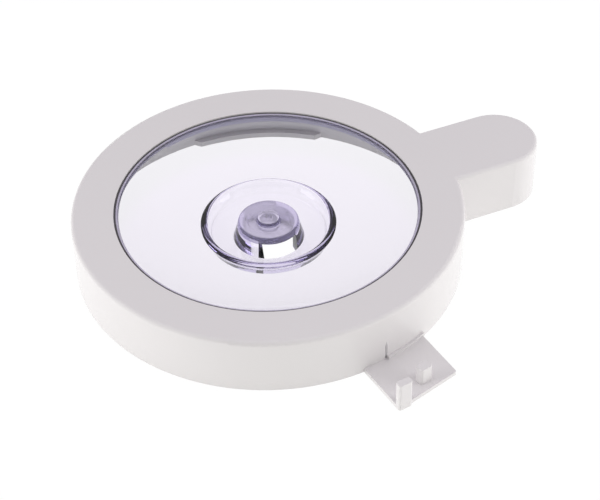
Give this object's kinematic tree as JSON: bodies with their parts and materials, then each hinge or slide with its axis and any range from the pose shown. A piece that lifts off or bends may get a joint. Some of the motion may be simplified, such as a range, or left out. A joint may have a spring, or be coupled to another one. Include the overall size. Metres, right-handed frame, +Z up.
{
  "type": "food processor bowl lid",
  "caption": "Round white lid with a clear dished window, a central well with a capped hub, a rounded handle cover and a side bracket with interlock posts.",
  "frame": {"origin": "on the lid's axis, in the plane of the skirt's bottom edge", "axes": "+Z up through the top of the lid, +X out along the middle of the handle cover, +Y to its left"},
  "size_m": [0.228, 0.2068, 0.028],
  "materials": {
    "white_plastic": "semi-gloss white moulding",
    "clear_plastic": "clear polished moulding with a faint lilac tint, frosted on the hub's cap"
  },
  "bodies": {
    "root": {"lid_frame": "white_plastic", "clear_insert": "clear_plastic"}
  },
  "joints": []
}
